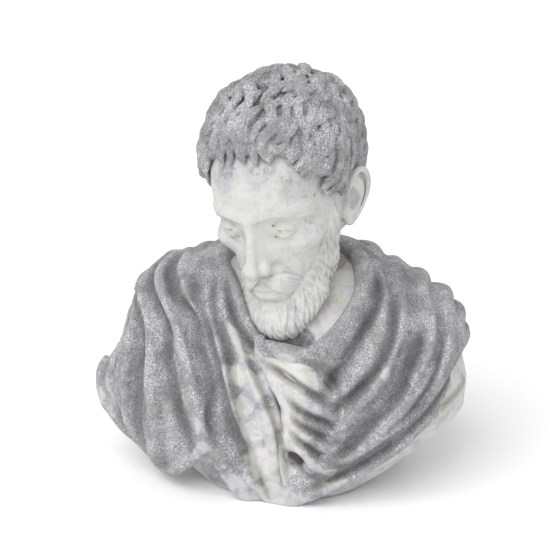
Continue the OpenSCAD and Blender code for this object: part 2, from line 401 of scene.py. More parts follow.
def head_matrix(look):
    """Carries the head's own frame to the bust's."""
    # The settings have single precision, so the angles are read to a hundredth of a degree.
    nod, lean, turn = (math.radians(round(math.degrees(a), 2)) for a in (look.nod, -look.lean, -look.turn))
    tilt = Matrix.Rotation(turn, 3, "Z") @ Matrix.Rotation(nod, 3, "X") @ Matrix.Rotation(lean, 3, "Y")
    return Matrix.Translation(Vector(HEAD_PLACE)) @ tilt.to_4x4()


def lay_brow_and_eyes(clay):
    """Temples, cheekbones, brow ridges, sockets, eyeballs and lids, the eyes an eye's width apart."""
    for s in SIDES:
        clay.ellipsoid((s * 48, -56, -14), (17, 16, 11), blend=14, turn=(0, s * -12, s * 22))
        clay.ellipsoid((s * 78, -50, 38), (9, 24, 24), blend=16, cut=True)
        clay.ellipsoid((s * 67, -44, -46), (10, 22, 18), blend=16, cut=True)
        brow = [(s * 7, -83, 21, 4.5), (s * 22, -82, 27, 5), (s * 40, -73, 28, 4), (s * 58, -53, 20, 2.5)]
        clay.stroke(smooth_path(brow, 4), blend=12)
        clay.ellipsoid((s * 31, -92, 6), (18, 14.5, 13), blend=15, cut=True, turn=(0, s * 5, s * 14))
        eye = np.array([s * EYE[0], EYE[1], EYE[2]])
        clay.ellipsoid(eye, (EYEBALL, EYEBALL, EYEBALL), blend=0.8)
        clay.ellipsoid((s * 17.5, -76, 9), (6.5, 6, 10), blend=9)
        lay_lid(clay, eye, s, True)
        lay_lid(clay, eye, s, False)
        clay.ellipsoid(eye + (0, -12.4, 0.6), (2.1, 2.2, 2.1), blend=0.8, cut=True)


def lay_lid(clay, eye, s, upper):
    """One eyelid: a thin cap on the eyeball that ends at the lid's edge, with the fold above or below."""
    rise = math.radians(14 if upper else -25)
    reach = LID + 4
    cuts, (x, y, z) = clay.window(eye - reach, eye + reach)
    x, y, z = s * (x - eye[0]), y - eye[1], z - eye[2]
    droop = 0.014 * x * x * (1 if upper else -0.7) + 0.04 * x
    cap = np.sqrt(x * x + y * y + z * z) - LID
    plane = (z + droop) * math.cos(rise) + y * math.sin(rise)
    shell = np.maximum(cap, -plane if upper else plane)
    clay.mix(cuts, shell.astype(np.float32), 1.2, False)
    fold = []
    for k in np.linspace(-0.8, 0.85, 7):
        across = 15 * k
        up = (8.2 - 0.02 * across**2) if upper else (-9.0 + 0.02 * across**2)
        deep = math.sqrt(max((LID + 0.5) ** 2 - across**2 - up**2, 4.0))
        fold.append((eye[0] + s * across, eye[1] - deep, eye[2] + up, 0.8))
    clay.stroke(smooth_path(fold, 2), blend=2.5, cut=True)


def lay_nose(clay):
    """Bridge, tip, wings and nostrils."""
    root = [(0, -80, 18, 7), (0, -84, 2, 8.5), (0, -89, -18, 11), (0, -90, -32, 12)]
    ridge = [(0, -86, 17, 4.2), (0, -91, 4, 4.6), (0, -100, -12, 5.4), (0, -107, -26, 6.2)]
    clay.stroke(smooth_path(root, 4), blend=9)
    clay.stroke(smooth_path(ridge, 3), blend=6)
    clay.ellipsoid((0, -109, -30), (8.2, 7, 7.2), blend=5)
    clay.stroke([(0, -108, -36, 3.0), (0, -95, -40, 4.0)], blend=3)
    for s in SIDES:
        clay.ellipsoid((s * 10.2, -96, -32.5), (6.0, 10, 6.6), blend=7, turn=(0, 0, s * 14))
        clay.ellipsoid((s * 6.4, -102, -39.5), (3.0, 5.4, 3.6), blend=1.4, cut=True, turn=(0, 0, s * 16))
        wing = [(s * 16, -95, -25, 1.0), (s * 18.5, -92, -33, 1.4), (s * 15, -94, -40, 1.0)]
        clay.stroke(smooth_path(wing, 2), blend=3.5, cut=True)
        cheek = [(s * 20, -88, -34, 1.6), (s * 27, -85, -46, 2.0), (s * 32, -80, -58, 1.4)]
        clay.stroke(smooth_path(cheek, 3), blend=9, cut=True)


def mirrored(rows):
    """Rows of x, y, z and radius from the middle to one side, with the other side's before them."""
    return [(-x, *rest) for x, *rest in rows[:0:-1]] + rows


def lay_mouth(clay):
    """Two closed lips, level and at rest, on a rounded muzzle, and the chin."""
    clay.ellipsoid((0, -77, -60), (27, 19, 22), blend=12)
    clay.ellipsoid((0, -83, -100), (19, 16, 14), blend=10)
    upper = mirrored([(0, -96, -59.5, 3.4), (11, -94, -58.5, 3.4), (23, -87, -61, 2.0)])
    lower = mirrored([(0, -94.5, -69.5, 4.6), (9, -93, -69, 4.4), (20, -87, -65, 2.2)])
    gap = mirrored([(0, -99.5, -64, 0.9), (11, -97.5, -63.4, 0.9), (24, -89, -61.5, 0.7)])
    clay.stroke(smooth_path(upper, 3), blend=4)
    clay.stroke(smooth_path(lower, 3), blend=4)
    clay.stroke(smooth_path(gap, 2), blend=2, cut=True)
    clay.ellipsoid((0, -98, -81), (14, 5, 5), blend=9, cut=True)
    clay.stroke([(0, -103, -44, 1.2), (0, -102, -53, 1.6)], blend=4, cut=True)


def lay_ear(clay, s):
    """Plate, rim, inner fold, bowl, lobe and tragus of one ear."""
    out = math.radians(26)
    back = np.array([s * math.sin(out), math.cos(out), 0.0])
    up = np.array([s * 0.12, 0.18, 1.0])
    up = up / np.linalg.norm(up)
    away = np.cross(up, back) * -s
    origin = np.array([s * 66.0, 4.0, -7.0])

    def roll(rows, blend, cut=False):
        rows = smooth_path([(*(origin + u * back + v * up + w * away), r) for u, v, w, r in rows], 2.5)
        clay.stroke(rows, blend=blend, cut=cut)

    for u, v, r in ((6, -14, 9), (13, -1, 14), (17, 12, 14)):
        clay.ellipsoid(origin + u * back + v * up + 0.5 * away, (4.5, r, r), blend=6, turn=(0, 0, -s * 26))
    roll([(5, -24, 1.5, 6.5), (4, -17, 1.5, 6)], 4)
    roll([(4, 0, 2, 2.5), (3, 11, 3.5, 3.2), (7, 22, 4.5, 3.6), (16, 29, 5, 3.7), (26, 26, 5, 3.7),
          (31, 14, 5, 3.4), (30, 0, 4.5, 3.1), (23, -14, 3.5, 2.9), (12, -24, 3, 3.2)], 2.2)
    roll([(15, 22, 3.5, 2.4), (21, 14, 4, 2.9), (22, 2, 4, 3.0), (17, -9, 4, 3.0), (9, -14, 4, 3.0)], 2.5)
    roll([(24, 19, 3, 1.6), (27, 9, 3, 1.6), (26, -2, 3, 1.6), (20, -12, 3, 1.2)], 2, cut=True)
    roll([(9, 9, 5, 4.0), (12, 0, 4.5, 5.2), (9, -8, 5, 4.0)], 2.5, cut=True)
    roll([(1, -2, 3.5, 3.6), (1, -8, 3.0, 3.2)], 2.5)


def lay_neck(clay, to_head):
    """The neck from the chest's seat up under the jaw, with its two long muscles."""

    def local(x, y, z, r):
        p = to_head @ Vector((NECK[0] + x, NECK[1] + y, z))
        return (p.x, p.y, p.z, r)

    seat = BED_HIGH[2]
    radius = (BED_HIGH[0] - BED_LOW[0]) / 2
    neck = copy_of(clay)
    column = [local(0, 2, seat - 10, radius - 3), local(0, 2, seat + 36, radius - 9), (0, 20, -24, 50)]
    neck.stroke(column, blend=10)
    neck.stroke([local(-3, -14, seat, 38), (0, -22, -72, 32)], blend=16)
    neck.ellipsoid(local(-8, -50, seat + 10, 0)[:3], (7, 7, 10), blend=14)
    for s in SIDES:
        muscle = [
            (s * 46, 24, -40, 9),
            local(s * 34 - 4, -28, seat + 40, 8.5),
            local(s * 12 - 4, -50, seat - 2, 7),
        ]
        neck.stroke(smooth_path(muscle, 8), blend=12)
    up = to_head.to_3x3() @ Vector((0, 0, 1))
    foot = to_head @ Vector((0, 0, seat))
    x, y, z = neck.axes()
    level = (x - foot.x) * up.x + (y - foot.y) * up.y + (z - foot.z) * up.z
    clay.mix(..., np.maximum(neck.d, -level), 9, False)


def lay_brow_hair(clay, rng):
    """A low row of short tufts along each brow."""
    for s in SIDES:
        for k in np.linspace(0, 1, 16):
            x = 9 + 42 * k
            z = 22 + 8 * math.sin(math.pi * min(k * 1.1, 1)) - 5 * k
            at = clay.surface((s * x * 0.5, 0, z), (s * x * 0.5, -84 + 26 * k, 0)) + (0, 0.8, 0)
            lean = np.array([s * (5.0 - k), 1.0 + 6 * k, 2.6 - 5.5 * k + rng.uniform(-0.8, 0.8)])
            rows = [(*(at - lean * 0.4), 0.9), (*(at + lean * 0.3), 1.5), (*(at + lean * 1.2), 0.7)]
            clay.stroke(smooth_path(rows, 2), blend=0.7)


def bare_head():
    """The bare head with its features, in the head's own frame."""
    clay = Clay((-106, -134, -152), (106, 136, 158), cell_size(1.0))
    clay.loft(HEAD_ROWS)
    clay.d = blur(clay.d, 3)
    lay_brow_and_eyes(clay)
    lay_nose(clay)
    lay_mouth(clay)
    for s in SIDES:
        lay_ear(clay, s)
    return clay


def hairline(bearing):
    """The lowest elevation of the hair's roots, seen from the brain, at each bearing."""
    stops = [0, 25, 45, 62, 78, 88, 100, 118, 140, 180]
    rises = [38, 35, 24, 8, -22, -16, -4, -34, -42, -46]
    return np.interp(np.abs(bearing), stops, rises)


def seen_from(points, heart):
    """Bearing and elevation of points in degrees."""
    v = np.asarray(points) - np.asarray(heart)
    bearing = np.degrees(np.arctan2(v[..., 0], -v[..., 1]))
    return bearing, np.degrees(np.arctan2(v[..., 2], np.hypot(v[..., 0], v[..., 1])))


def fullness(bearing):
    """How much thicker the hair is beside the sitter's right temple, in millimetres."""
    return 6.0 * np.exp(-(((np.asarray(bearing) + 92) / 24) ** 2))


def arc(angle, away):
    """Degrees seen from away millimetres off, as a distance that never overstates."""
    return angle * away * math.radians(1) * 0.9


# A lock is laid in steps out from its root. These are its heights off the skin and its half widths at each.
LOCK_LIFTS = (8.0, 9.8, 11.2, 11.8, 11.4, 10.2)
LOCK_RADII = (3.4, 5.4, 6.4, 6.0, 4.4, 1.5)
LOCK_STEP = 5.6
CROWN = (8.0, 92.0, 84.0)
GOLDEN_TURN = math.pi * (3 - math.sqrt(5))


def hair_clay(head, count, rng):
    """The hair: a cap with broad comma-shaped locks, brushed forward and down from the crown."""
    clay = copy_of(head)
    x, y, z = clay.axes()
    grid = np.stack(np.broadcast_arrays(x - BRAIN[0], y - BRAIN[1], z - BRAIN[2]), -1)
    bearing, rise = seen_from(grid, (0, 0, 0))
    above = arc(hairline(bearing) + 3 - rise, np.linalg.norm(grid, axis=-1))
    cap = copy_of(head)
    cap.loft(HEAD_ROWS)
    # The loft's field is steeper in some places than in others, so it is divided by its slope.
    slope = np.sqrt(sum(g * g for g in np.gradient(cap.d, cap.cell)))
    cap.d /= np.clip(slope, 0.5, 2.0)
    clay.d = -soft_min(-(cap.d - 10.5 - fullness(bearing).astype(np.float32)), -above.astype(np.float32), 8)
    del grid, slope
    steps = len(LOCK_LIFTS) - 1
    for i in range(count):
        up = 1 - 1.75 * (i + 0.5) / count
        around = i * GOLDEN_TURN
        level = math.sqrt(max(1 - up * up, 0))
        toward = np.array([level * math.cos(around), level * math.sin(around), up])
        b, e = seen_from(toward, (0, 0, 0))
        if e < hairline(b) + 8:
            continue
        at = cap.surface(BRAIN, toward)
        size = rng.uniform(0.8, 1.25) * (0.85 if e < hairline(b) + 22 else 1.0)
        swirl = 0.4 * math.sin(0.07 * b + 0.05 * e) + rng.uniform(-0.22, 0.22)
        curl = rng.choice((-1, 1)) * rng.uniform(0.3, 1.4)
        proud = rng.uniform(-1.8, 2.4)
        rows, faces = [], []
        for k in range(steps + 1):
            out = cap.normal(at)
            flow = at - np.array(CROWN) + np.array([-6.0, -16.0, -20.0])
            flow = flow - out * (flow @ out)
            flow = flow / max(np.linalg.norm(flow), 1e-6)
            across = np.cross(out, flow)
            b, e = seen_from(at, BRAIN)
            rooted = np.clip((e - hairline(b) + 6) / 14, 0.35, 1)
            lift = (LOCK_LIFTS[k] + proud * k / steps) * rooted + fullness(b)
            radius = LOCK_RADII[k] * size
            rows.append((*(at + out * lift), radius))
            faces.append(out)
            step = flow + across * (swirl + curl * (k / steps) ** 1.5)
            at = at + step / np.linalg.norm(step) * LOCK_STEP * size
            at = cap.surface(BRAIN, at - np.asarray(BRAIN))
        path = smooth_path([(*r, *f) for r, f in zip(rows, faces)], 3.0)
        clay.stroke(path[:, :4], blend=0.9, flat=1.5, normals=path[:, 4:], strands=3, groove=1.7)
    return clay


def beard_clay(head, rng):
    """Short full beard and moustache: a soft mass with fine combed strands."""
    clay = copy_of(head)
    base = head.d.copy()
    x, y, z = clay.axes()
    grid = np.stack(np.broadcast_arrays(x - JAW[0], y - JAW[1], z - JAW[2]), -1)
    bearing = np.abs(np.degrees(np.arctan2(grid[..., 0], -grid[..., 1])))
    rise = np.degrees(np.arctan2(grid[..., 2], np.hypot(grid[..., 0], grid[..., 1])))
    line = np.interp(bearing, [0, 18, 30, 48, 70, 90, 104], [-20, -16, -8, 4, 26, 44, 52])
    away = np.linalg.norm(grid, axis=-1)
    edge, back, under = arc(rise - line, away), arc(bearing - 100, away), arc(-62 - rise, away)
    limits = np.maximum(np.maximum(edge, back), under).astype(np.float32)
    del grid, away
    thick = np.interp(z, [-150, -110, -80, -50, -20], [9, 8, 5, 2.5, 1.5]).astype(np.float32)
    clay.d = -soft_min(-(base - thick), -limits, 7)
    clay.ellipsoid((0, -86, -108), (25, 17, 20), blend=12)
    jaw = mirrored([(0, -88, -108, 13), (24, -80, -100, 13), (40, -60, -84, 12)])
    clay.stroke(smooth_path(jaw, 6), blend=10)
    mass = copy_of(clay, np.minimum(clay.d, base))
    for row in range(9):
        turns = np.arange(-96, 97, 7.0) + (3.5 if row % 2 else 0)
        for turn in turns:
            side = abs(turn) / 96
            top = np.interp(abs(turn), [0, 18, 30, 48, 70, 90, 104], [-22, -18, -9, 2, 24, 40, 46])
            low = -66 + 22 * side
            start = top + (low - top) * (row + rng.uniform(-0.2, 0.4)) / 9.5
            if start < -60:
                continue
            bend = rng.uniform(-3.5, 3.5)
            drop = rng.uniform(10, 15)
            r = rng.uniform(1.7, 2.5)
            strand = [
                (turn, start, 0.2, r * 0.7),
                (turn + bend * 0.3, start - drop * 0.4, 0.9, r),
                (turn + bend, start - drop * 0.8, 1.0, r * 0.9),
                (turn + bend * 1.8, start - drop * 1.15, 0.5, 0.5),
            ]
            rows, _ = mass.laid(JAW, strand, 6)
            clay.stroke(rows, blend=0.7)
    # The moustache: five strands a side, from under the nose to past the corner of the mouth.
    for s in SIDES:
        for k in range(5):
            u = k / 4
            rows = []
            for x, dx, z, dz, lift, r in (
                (2, 12, -44, 0, 0.4, 1.5), (9, 14, -51, 5, 3.0, 2.4), (18, 13, -58, 7, 3.4, 2.5),
                (26, 9, -65, 6, 2.4, 2.2), (31, 7, -73 + rng.uniform(-2, 2), 4, 0.8, 0.8),
            ):
                x, z = s * (x + dx * u), z + dz * u
                skin = head.surface((x, -20, z), (0, -1, 0))
                rows.append((*(skin - (0, lift + 0.6 * (k % 2), 0)), r))
            clay.stroke(smooth_path(rows, 3), blend=0.3)
    # Short strands under the lower lip.
    for k in range(-5, 6):
        rows = []
        longest = -22 - rng.uniform(0, 6)
        for dz, lift, r in ((0, -1.5, 0.8), (-6, 0.4, 1.6), (-14, 0.9, 1.9), (longest, 0.2, 0.7)):
            x, z = (1.6 - 0.025 * dz) * k, -76.5 - 0.5 * abs(k) + dz
            rows.append((*(mass.surface((x, -20, z), (0, -1, 0)) - (0, lift, 0)), r))
        clay.stroke(smooth_path(rows, 3), blend=0.7)
    return clay


# ---- chest and cloak ----------------------------------------------------------------------------

# The cloak's swags, from the inner collar to the outer hem. Each starts at the front on the sitter's left,
# climbs over that shoulder, sags across the back and falls over the other shoulder. A station is a bearing
# and an elevation seen from the heart, and any extra lift off the stone in millimetres.
SWAGS = [
    [
        (-3, 29), (8, 27), (20, 25), (31, 30), (50, 42), (74, 55), (104, 61), (142, 62), (180, 62),
        (218, 62), (256, 60), (288, 58), (315, 55), (330, 49), (341, 41), (350, 33), (357, 27),
    ],
    [
        (26, 4), (34, 9), (42, 16), (49, 24), (60, 38), (78, 51, -4), (108, 52, -4), (144, 47), (180, 44),
        (216, 47), (252, 52, -2), (290, 53, -1), (324, 46), (348, 25), (359, 5), (365, -20), (367, -40),
    ],
    [
        (30, -11), (36, -5), (43, 5), (50, 15), (60, 28, -2), (80, 43, -6), (110, 43, -6), (145, 34, -3),
        (180, 29), (215, 32), (250, 44), (282, 49), (322, 41), (337, 18), (345, -6), (352, -27),
        (363, -46),
    ],
    [
        (30, -22), (37, -15), (45, -7), (53, 2), (63, 14, -1), (84, 34, -4), (112, 33, -5), (147, 25, 1),
        (180, 19, 1), (213, 23, -4), (249, 36, -2), (274, 44), (316, 36), (331, 24, -2), (337, 8, -4),
        (339, -8, -4), (342, -22, -4),
    ],
    [
        (22, -27), (31, -22), (43, -14), (55, -2), (67, 9), (88, 25, -3), (114, 24, -4), (148, 14, -4),
        (180, 9, -3), (212, 14, 1), (248, 29), (267, 37), (304, 31), (320, 20, 1), (328, 3, 2),
        (331, -10, 4), (330, -20, 6),
    ],
    [
        (9, -40), (24, -34), (39, -26), (53, -14), (69, 5), (87, 19), (116, 16), (150, 3, 1),
        (180, -2, 1), (210, 4, -3), (246, 24, -2), (264, 34), (302, 18), (309, 0, 3), (310, -12, 7),
        (307, -22, 12), (303, -29, 15),
    ],
    [
        (6, -46), (16, -41), (32, -34), (47, -21), (63, -2), (82, 13), (116, 9), (150, -8), (180, -13),
        (210, -5), (240, 14), (256, 25, 1), (268, 22, 4), (277, 10, 8), (279, -3, 14), (283, -10, 15),
        (289, -17, 15), (295, -23, 15),
    ],
]
SWAG_RADII = [7, 8, 7, 9, 11, 10, 8]
# The folds of the loose end that falls over the sitter's right shoulder.
LOOSE_FOLDS = [
    [(268, 30), (290, 26, 1), (295, 12, 4), (298, -4, 8), (298, -16, 12), (297, -25, 14)],
    [(307, 8, 2), (316, -4, 4), (318, -16, 8), (314, -28, 12)],
    [(295, -24, 14), (302, -30, 15), (311, -32, 14), (320, -28, 10), (329, -22, 6), (333, -13, 3)],
    [(334, -12), (334, -21), (338, -32), (345, -41), (353, -46)],
]
# Pairs of lines with cloth between them, where the loose end has no swags.
LOOSE_SHEETS = [
    (
        [(345, -6), (348, -18), (353, -30), (359, -40), (364, -46)],
        [(334, -12), (334, -21), (338, -32), (345, -41), (353, -46)],
    ),
    (
        [(309, 0, 3), (310, -12, 7), (307, -22, 12), (303, -29, 15)],
        [(328, 3, 2), (331, -8, 4), (330, -16, 6), (328, -22, 6)],
    ),
]
# Creases in the cloak, each with its radius, and then those in the tunic.
CREASES = [
    ([(262, 28), (284, 20), (288, 6), (290, -8), (293, -18)], 4.5),
    ([(258, 33), (299, 22), (303, 4), (304, -8), (302, -22)], 4.5),
    ([(262, 39), (306, 27), (315, 13), (321, 0), (325, -12), (328, -22)], 4.5),
    ([(261, 44), (314, 34), (327, 22), (334, 9), (336, -5), (337, -20)], 4.5),
    ([(300, 48), (324, 34), (335, 19), (340, 4), (344, -9), (350, -25), (360, -42)], 6.0),
    ([(318, 50), (331, 35), (340, 24), (346, 4), (350, -13), (357, -33), (362, -44)], 3.0),
    ([(345, 38), (352, 22), (361, 4), (366, -9), (368, -22), (368, -36)], 3.5),
    ([(325, 53), (337, 41), (345, 34), (352, 28), (358, 21)], 3.5),
    ([(76, 52), (63, 45), (52, 37), (40, 27), (30, 15), (24, 5)], 4.5),
    ([(66, 38), (59, 32), (53, 24), (46, 16), (38, 8), (29, 0)], 3.2),
    ([(70, 26), (62, 20), (56, 13), (51, 5), (44, -2), (37, -10), (32, -16), (26, -21)], 6.5),
    ([(84, 12), (76, 9), (65, 2), (53, -9), (43, -19), (30, -28), (12, -36)], 4.0),
    ([(74, 20), (66, 12), (55, 0), (46, -8)], 2.2),
    ([(88, 0), (70, -4), (55, -18), (42, -28), (30, -35)], 2.4),
    ([(120, 56), (150, 53), (180, 52), (212, 54), (240, 57)], 4.0),
    ([(110, 38), (145, 30), (180, 24), (212, 28), (246, 40)], 5.0),
    ([(130, 14), (165, 5), (195, 4), (225, 14), (250, 26)], 5.0),
]
# The tunic's pleats run from the fall down to the swags' ends. Each has its lift and radius.
TUNIC_RIDGES = [
    ([(-5, 31), (-2, 24), (3, 15), (9, 5), (14, -4), (18, -12)], 8, 7),
    ([(-3, 26), (8, 20), (18, 14), (27, 9)], 6, 8),
    ([(6, 13), (13, 8), (21, 1), (28, -2)], 6, 8),
    ([(11, 4), (17, -3), (24, -7), (30, -10)], 6, 7),
    ([(12, -5), (17, -11), (24, -15), (30, -17)], 6, 7),
    ([(11, -14), (17, -20), (24, -24), (28, -26)], 6, 7),
    ([(7, -20), (7, -28), (8, -37)], 6, 6),
    ([(2, 22), (14, 14), (28, 20)], 2, 9),
    ([(10, 8), (20, 2), (28, -2)], 3, 9),
    ([(12, -6), (20, -10), (28, -12)], 3, 9),
    ([(12, -14), (20, -17), (27, -20)], 3, 9),
    ([(6, 20), (12, 0), (12, -18)], 2, 9),
]
TUNIC_CREASES = [
    ([(-2, 21), (5, 18), (16, 11), (28, 4)], 2.6),
    ([(18, 22), (26, 18), (31, 11), (31, 4)], 3.4),
    ([(8, 8), (14, 1), (20, -3), (26, -5), (32, -8)], 3.2),
    ([(10, 0), (14, -5), (20, -9), (26, -12), (33, -14)], 3.8),
    ([(11, -9), (15, -14), (21, -18), (28, -21), (32, -22)], 3.0),
    ([(8, -20), (13, -25), (18, -28), (27, -30)], 2.4),
]


def stations(fold, lift, radius, end=0.7):
    """Full stations of a fold at a lift and radius, which shrink to a share at its ends."""
    last = len(fold) - 1
    out = []
    for i, (bearing, rise, *extra) in enumerate(fold):
        ease = 1.0 if 0 < i < last else end
        out.append((bearing, rise, lift * ease + sum(extra), radius * ease))
    return out


# A crease's soft trough and its sharp bottom: half width and height off the skin, both in the crease's
# radii, and the blend in millimetres.
TROUGH = ((2.4, 1.3, 6), (1.1, -0.45, 2.5))


def crease(clay, skin, marks, fold, radius):
    """Cuts a fold's valley into the cloth's skin: a soft trough with a sharp bottom, both fading at the
    ends. It is drawn in marks too, for the painted shade and dirt that the marble lays along it."""
    last = len(fold) - 1
    for wide, lift, blend in TROUGH:
        rows = []
        for i, (bearing, rise) in enumerate(fold):
            if 0 < i < last:
                rows.append((bearing, rise, lift * radius, wide * radius))
            else:
                rows.append((bearing, rise, 1.2 * radius, wide * radius * 0.35))
        path = skin.laid(HEART, rows)[0]
        clay.stroke(path, blend=blend, cut=True)
    path[:, 3] *= 0.6
    marks.stroke(path, blend=1)


def sheet(clay, base, one, two):
    """Fills between two neighbouring folds with cloth that lies lower than their ridges."""
    gaps = [math.hypot((a[0] - b[0]) * math.cos(math.radians(a[1])), a[1] - b[1]) for a, b in zip(one, two)]
    # A degree is about 3 mm on the cloak, and the rolls that fill the gap lie 9 mm apart.
    count = max(2, int(max(gaps) * 3.0 / 9))
    for t in (np.arange(count) + 0.5) / count:
        mid = []
        for a, b in zip(one, two):
            extra = (sum(a[2:]) * (1 - t) + sum(b[2:]) * t) * 0.85
            mid.append((a[0] * (1 - t) + b[0] * t, a[1] * (1 - t) + b[1] * t, 1.5 + extra, 6.0))
        rows, _ = base.laid(HEART, mid, 14)
        clay.stroke(rows, blend=8)


def fillet(chest, cloak):
    """Lets the tunic's pleats flow up into the cloak where the swags end."""
    x, y, z = chest.axes()
    bearing, rise = np.degrees(np.arctan2(x, -y)), np.degrees(np.arctan2(z - HEART[2], np.hypot(x, y)))
    share = np.clip((bearing - 8) / 6, 0, 1) * np.clip((40 - bearing) / 6, 0, 1)
    share = share * np.clip((rise + 40) / 5, 0, 1) * np.clip((26 - rise) / 5, 0, 1)
    chest.d += (soft_min(chest.d, cloak.d + np.float32(1.2), 14) - chest.d) * share.astype(np.float32)


def block_clays():
    """The chest's stone and the whole cloak's, on one grid."""
    low = (CHEST_LOW[0] - 34, CHEST_LOW[1] - 28, -6)
    high = (CHEST_HIGH[0] + 20, CHEST_HIGH[1] + 24, CHEST_HIGH[2] + 26)
    chest = Clay(low, high, cell_size(1.6))
    chest.adopt("chest", 3)
    chest.stroke([(NECK[0], NECK[1], 60, 50), (NECK[0], NECK[1], CHEST_HIGH[2] - 58, 50)])
    base = copy_of(chest, chest.d)
    cloak = copy_of(chest)
    for one, two in [*zip(SWAGS, SWAGS[1:]), *LOOSE_SHEETS]:
        sheet(cloak, base, one, two)
    for fold, radius in zip(SWAGS, SWAG_RADII):
        cloak.stroke(base.laid(HEART, stations(fold, 7.5, radius))[0], blend=7)
    for fold in LOOSE_FOLDS:
        cloak.stroke(base.laid(HEART, stations(fold, 6, 8))[0], blend=7)
    whole, marks = copy_of(chest), copy_of(chest)
    whole.d = blur(np.minimum(base.d, cloak.d), 2)
    before = cloak.d.copy()
    for fold, radius in CREASES:
        crease(cloak, whole, marks, fold, radius)
    for fold, lift, radius in TUNIC_RIDGES:
        chest.stroke(base.laid(HEART, stations(fold, lift, radius, 0.9))[0], blend=9)
    fillet(chest, cloak)
    whole.d = blur(chest.d, 2)
    for fold, radius in TUNIC_CREASES:
        crease(chest, whole, marks, fold, radius)
    # The cut stump of the sitter's right arm.
    chest.ellipsoid((-166, 36, 172), (28, 39, 30), blend=14)
    # The shoulder is worn narrower above the fall's flap. The cloth keeps 5 mm over the chest everywhere.
    cloak.ellipsoid((-231, -20, 166), (32, 75, 50), blend=22, cut=True, turn=(0, 31, 0))
    cloak.d = np.minimum(cloak.d, np.maximum(before, base.d - 5))
    # Stone 2.5 mm thick covers the ends of the pins.
    pins = copy_of(chest)
    pins.adopt("cloak_pins", 1)
    cloak.d = soft_min(cloak.d, np.maximum(pins.d - 2.5, -3 - base.d), 12)
    # The foot is flat, with the bore for the socle's sleeve and its grout.
    x, y, z = chest.axes()
    for clay in (chest, cloak):
        clay.d = np.maximum(clay.d, -z)
    grout = box_mm("sleeve_grout")[1]
    hole = np.maximum(np.hypot(x, y) - grout[0], z - grout[2])
    chest.d = np.maximum(chest.d, -hole.astype(np.float32))
    return chest, cloak, marks


# ---- materials ------------------------------------------------------------------------------------


def linear(code):
    """An sRGB hex colour as linear red, green, blue and alpha."""
    parts = [int(code[i : i + 2], 16) / 255 for i in (1, 3, 5)]
    return (*(c / 12.92 if c <= 0.04045 else ((c + 0.055) / 1.055) ** 2.4 for c in parts), 1.0)


def add(tree, kind, inputs=(), **settings):
    """Adds a shader node, sets its properties, and fills its inputs with numbers, colours or sockets."""
    made = tree.nodes.new("ShaderNode" + kind)
    for key, value in settings.items():
        setattr(made, key, value)
    for key, value in dict(inputs).items():
        if isinstance(value, bpy.types.NodeSocket):
            tree.links.new(value, made.inputs[key])
        else:
            made.inputs[key].default_value = value
    return made


def noise(tree, where, scale, detail=3.0, rough=0.6, twist=0.0):
    """Noise with about scale lumps in a metre."""
    fill = {"Vector": where, "Scale": scale, "Detail": detail, "Roughness": rough, "Distortion": twist}
    return add(tree, "TexNoise", fill).outputs["Fac"]


def maths(tree, kind, a, b=0.0, c=0.0):
    """A sum on numbers or sockets."""
    return add(tree, "Math", {0: a, 1: b, 2: c}, operation=kind).outputs[0]


def ramp(tree, value, low, high, to_low=0.0, to_high=1.0):
    """Value from low to high, smoothly, as to_low to to_high."""
    fill = {"Value": value, "From Min": low, "From Max": high, "To Min": to_low, "To Max": to_high}
    return add(tree, "MapRange", fill, interpolation_type="SMOOTHSTEP").outputs["Result"]


def blend_colour(tree, share, a, b):
    """Colour a, turning to b with the share."""
    made = add(tree, "Mix", {"Factor": share, 6: a, 7: b}, data_type="RGBA", blend_type="MIX")
    return made.outputs[2]


def empty_material(name):
    """A new material, its node tree with nothing in it, and the object's own coordinates."""
    made = bpy.data.materials.new(name)
    made.use_nodes = True
    tree = made.node_tree
    tree.nodes.clear()
    return made, tree, add(tree, "TexCoord").outputs["Object"]


def finish(tree, fill, specular=0.5, metal=0.0):
    """The surface: a shader with these inputs, joined to the material's output."""
    shader = add(tree, "BsdfPrincipled", fill)
    shader.inputs["Specular IOR Level"].default_value = specular
    shader.inputs["Metallic"].default_value = metal
    out = add(tree, "OutputMaterial")
    tree.links.new(shader.outputs[0], out.inputs["Surface"])


# Lumps in a metre on the stone. Lichen grows in patches of about 40 mm made of 9 mm clots. Its grains are
# under a millimetre, and are drawn at 2 mm, with dust at 1 mm, so that they show from a step away. Water
# leaves cool blotches of 20 mm and warm stains of 30 mm on the bare marble.
PATCHES, CLOTS, GRAINS, DUST = 26, 110, 520, 900
BLOTCHES, STAINS = 48, 34


